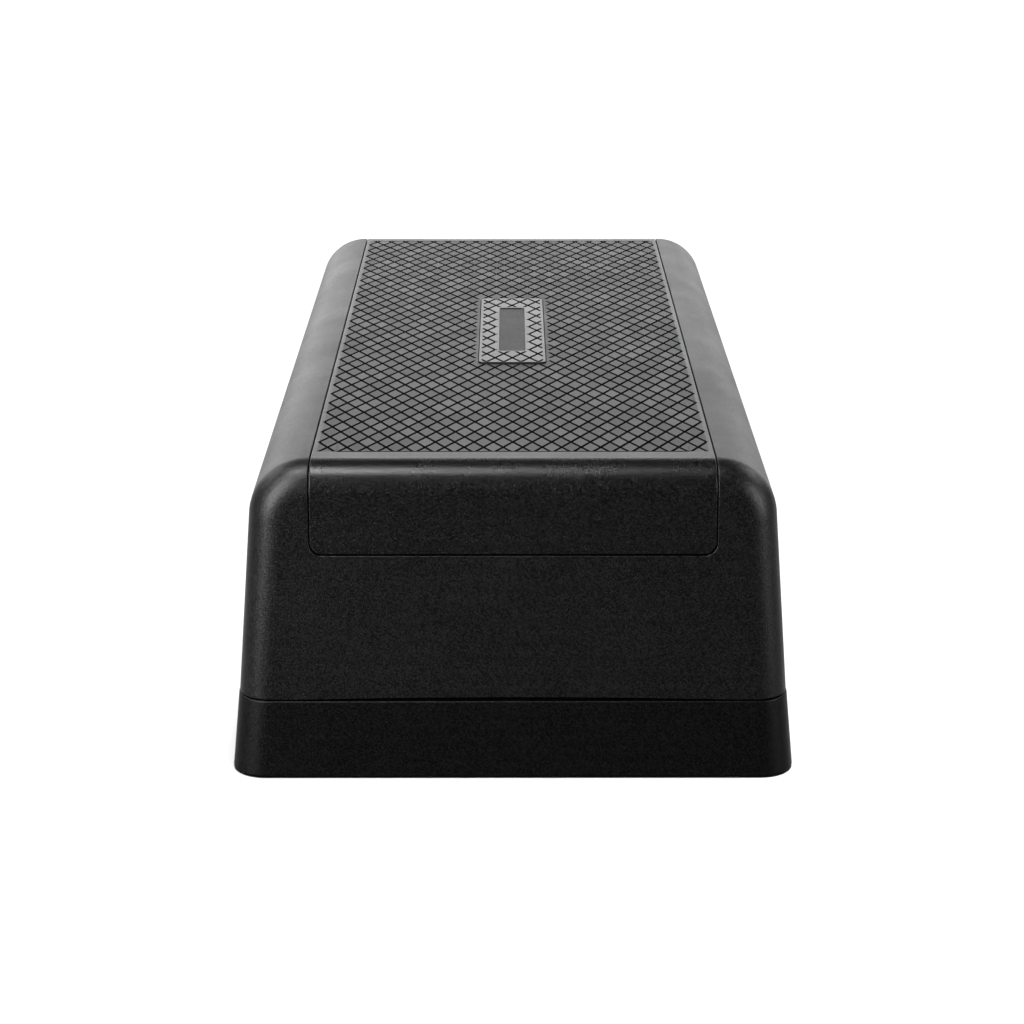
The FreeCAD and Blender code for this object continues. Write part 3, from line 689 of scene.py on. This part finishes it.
# The plinth's grain gets a darker tone and less gloss than the shell's: painted shade for the low part near the
# floor.
plinth_shade_paint = leather("plinth_grain_and_shade", (0.0004, 0.0004, 0.00041), 0.85, 0.08, (0.32, 0.44), 0.022, 1.0)
skin_paint = leather("panel_grain", (0.0007, 0.0007, 0.00072), 0.9, 0.09, (0.21, 0.29), 0.057, 1.0)
margin_face = leather("margin_grain", (0.0020, 0.0020, 0.0021), 0.8, 0.02, (0.34, 0.44), 0.078, 0.6)
tread_face = tread_paint("tread_face", (0.0024, 0.0024, 0.0025), 0.46, 0.064, 0.06)
plate_face = tread_paint("plate_face", (0.0026, 0.0026, 0.0027), 0.33, 0.080, 0.03)
bed_face = leather("bed_grain", (0.0022, 0.0022, 0.0023), 0.8, 0.03, (0.46, 0.58), 0.060, 0.6)
# Groove floors and lower walls: a darker, duller grain, as painted shade in the grooves.
groove_shade_face = leather("groove_painted_shade", (0.0004, 0.0004, 0.00041), 0.8, 0.02, (0.55, 0.68), 0.012, 0.5)
foot_paint = rubber("foot_rubber", (0.045, 0.045, 0.047))
screw_paint = zinc("zinc_plate")

for node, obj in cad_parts.items():
    if node == "base_frame":
        finish = plinth_shade_paint
    elif node == "tread_screws":
        finish = screw_paint
    elif "foot" in node:
        finish = foot_paint
    else:
        finish = shell_paint
    obj.data.materials.clear()
    obj.data.materials.append(finish)

tread = build_tread().build("tread_panel_surface", [tread_face, skin_paint, plate_face, bed_face, margin_face, groove_shade_face])
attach(tread, "platform")
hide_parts("tread_panel")

# ---------------------------------------------------------- floor and lighting

floor_mesh = bpy.data.meshes.new("floor")
floor_mesh.from_pydata([(-60, -60, 0), (60, -60, 0), (60, 60, 0), (-60, 60, 0)], [], [(0, 1, 2, 3)])
floor = bpy.data.objects.new("floor", floor_mesh)
bpy.context.scene.collection.objects.link(floor)
paper = bpy.data.materials.new("studio_paper")
paper.use_nodes = True
paper.node_tree.nodes["Principled BSDF"].inputs["Base Color"].default_value = (0.90, 0.90, 0.90, 1)
paper.node_tree.nodes["Principled BSDF"].inputs["Roughness"].default_value = 0.9
paper.node_tree.nodes["Principled BSDF"].inputs["Specular IOR Level"].default_value = 0.0
floor_mesh.materials.append(paper)


part_group = bpy.data.collections.new("lit_part")
for obj in [*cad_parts.values(), tread]:
    part_group.objects.link(obj)
floor_group = bpy.data.collections.new("lit_floor")
floor_group.objects.link(floor)


def softbox(name, place, target, width, height, power):
    """A soft light on the part; the floor has a light of its own."""
    data = bpy.data.lights.new(name, "AREA")
    data.shape = "RECTANGLE"
    data.size, data.size_y = width, height
    data.energy = power
    obj = bpy.data.objects.new(name, data)
    obj.location = place
    obj.rotation_euler = (Vector(target) - Vector(place)).to_track_quat("-Z", "Y").to_euler()
    obj.visible_camera = False
    obj.light_linking.receiver_collection = part_group
    bpy.context.scene.collection.objects.link(obj)
    return obj


softbox("back_left_softbox", (-1.85, 5.2, 1.52), (-1.85, 0, 0.6), 5.5, 3.0, 192)
softbox("back_right_softbox", (3.1, 5.2, 1.52), (3.1, 0, 0.6), 4.4, 3.0, 118)
softbox("key_strip", (-0.66, -0.47, 2.1), (-0.66, -0.47, 0), 1.0, 0.12, 240)
softbox("front_fill", (-0.9, -1.5, 2.2), (-0.1, -0.3, 0.1), 1.4, 0.9, 10)
softbox("left_softbox", (-1.04, -1.06, 0.72), (-0.15, -0.335, 0.16), 0.45, 1.35, 235)
softbox("right_softbox", (1.85, -1.05, 0.7), (0.15, -0.335, 0.12), 0.5, 1.3, 150)
softbox("left_side_fill", (-2.0, 1.0, 1.7), (-0.15, 0.1, 0.1), 1.6, 0.8, 70)
softbox("right_side_fill", (2.0, 1.0, 1.7), (0.15, 0.1, 0.1), 1.6, 0.8, 70)
softbox("left_side_softbox", (-5.0, 0.0, 2.1), (0, 0, 0.4), 5.0, 2.2, 90)
softbox("right_side_softbox", (5.0, 0.0, 2.1), (0, 0, 0.4), 5.0, 2.2, 90)
softbox("front_softbox", (0.0, -6.2, 2.6), (0, 0, 0.4), 5.0, 2.0, 28)

wash_data = bpy.data.lights.new("floor_wash", "SUN")
wash_data.energy, wash_data.angle = 4.2, math.radians(22)
wash = bpy.data.objects.new("floor_wash", wash_data)
wash.rotation_euler = (0, math.radians(3), 0)
wash.light_linking.receiver_collection = floor_group
bpy.context.scene.collection.objects.link(wash)

world = bpy.data.worlds.new("studio")
world.use_nodes = True
world.node_tree.nodes["Background"].inputs["Color"].default_value = (0.04, 0.04, 0.04, 1)
world.node_tree.nodes["Background"].inputs["Strength"].default_value = 1.0
scene = bpy.context.scene
scene.world = world
scene.view_settings.view_transform = "Standard"
scene.view_settings.look = "None"

# --------------------------------------------------------------------- camera

pitch, yaw = math.radians(18.308), math.radians(0.0938)
camera_data = bpy.data.cameras.new("camera")
camera_data.sensor_width = 36.0
camera_data.lens = 2431.58 / 1024 * 36.0
camera_data.clip_start, camera_data.clip_end = 0.05, 60
camera = bpy.data.objects.new("camera", camera_data)
camera.location = (-0.002963, -1.75917, 0.63923)
camera.rotation_euler = (math.pi / 2 - pitch, 0, -yaw)
scene.collection.objects.link(camera)
scene.camera = camera
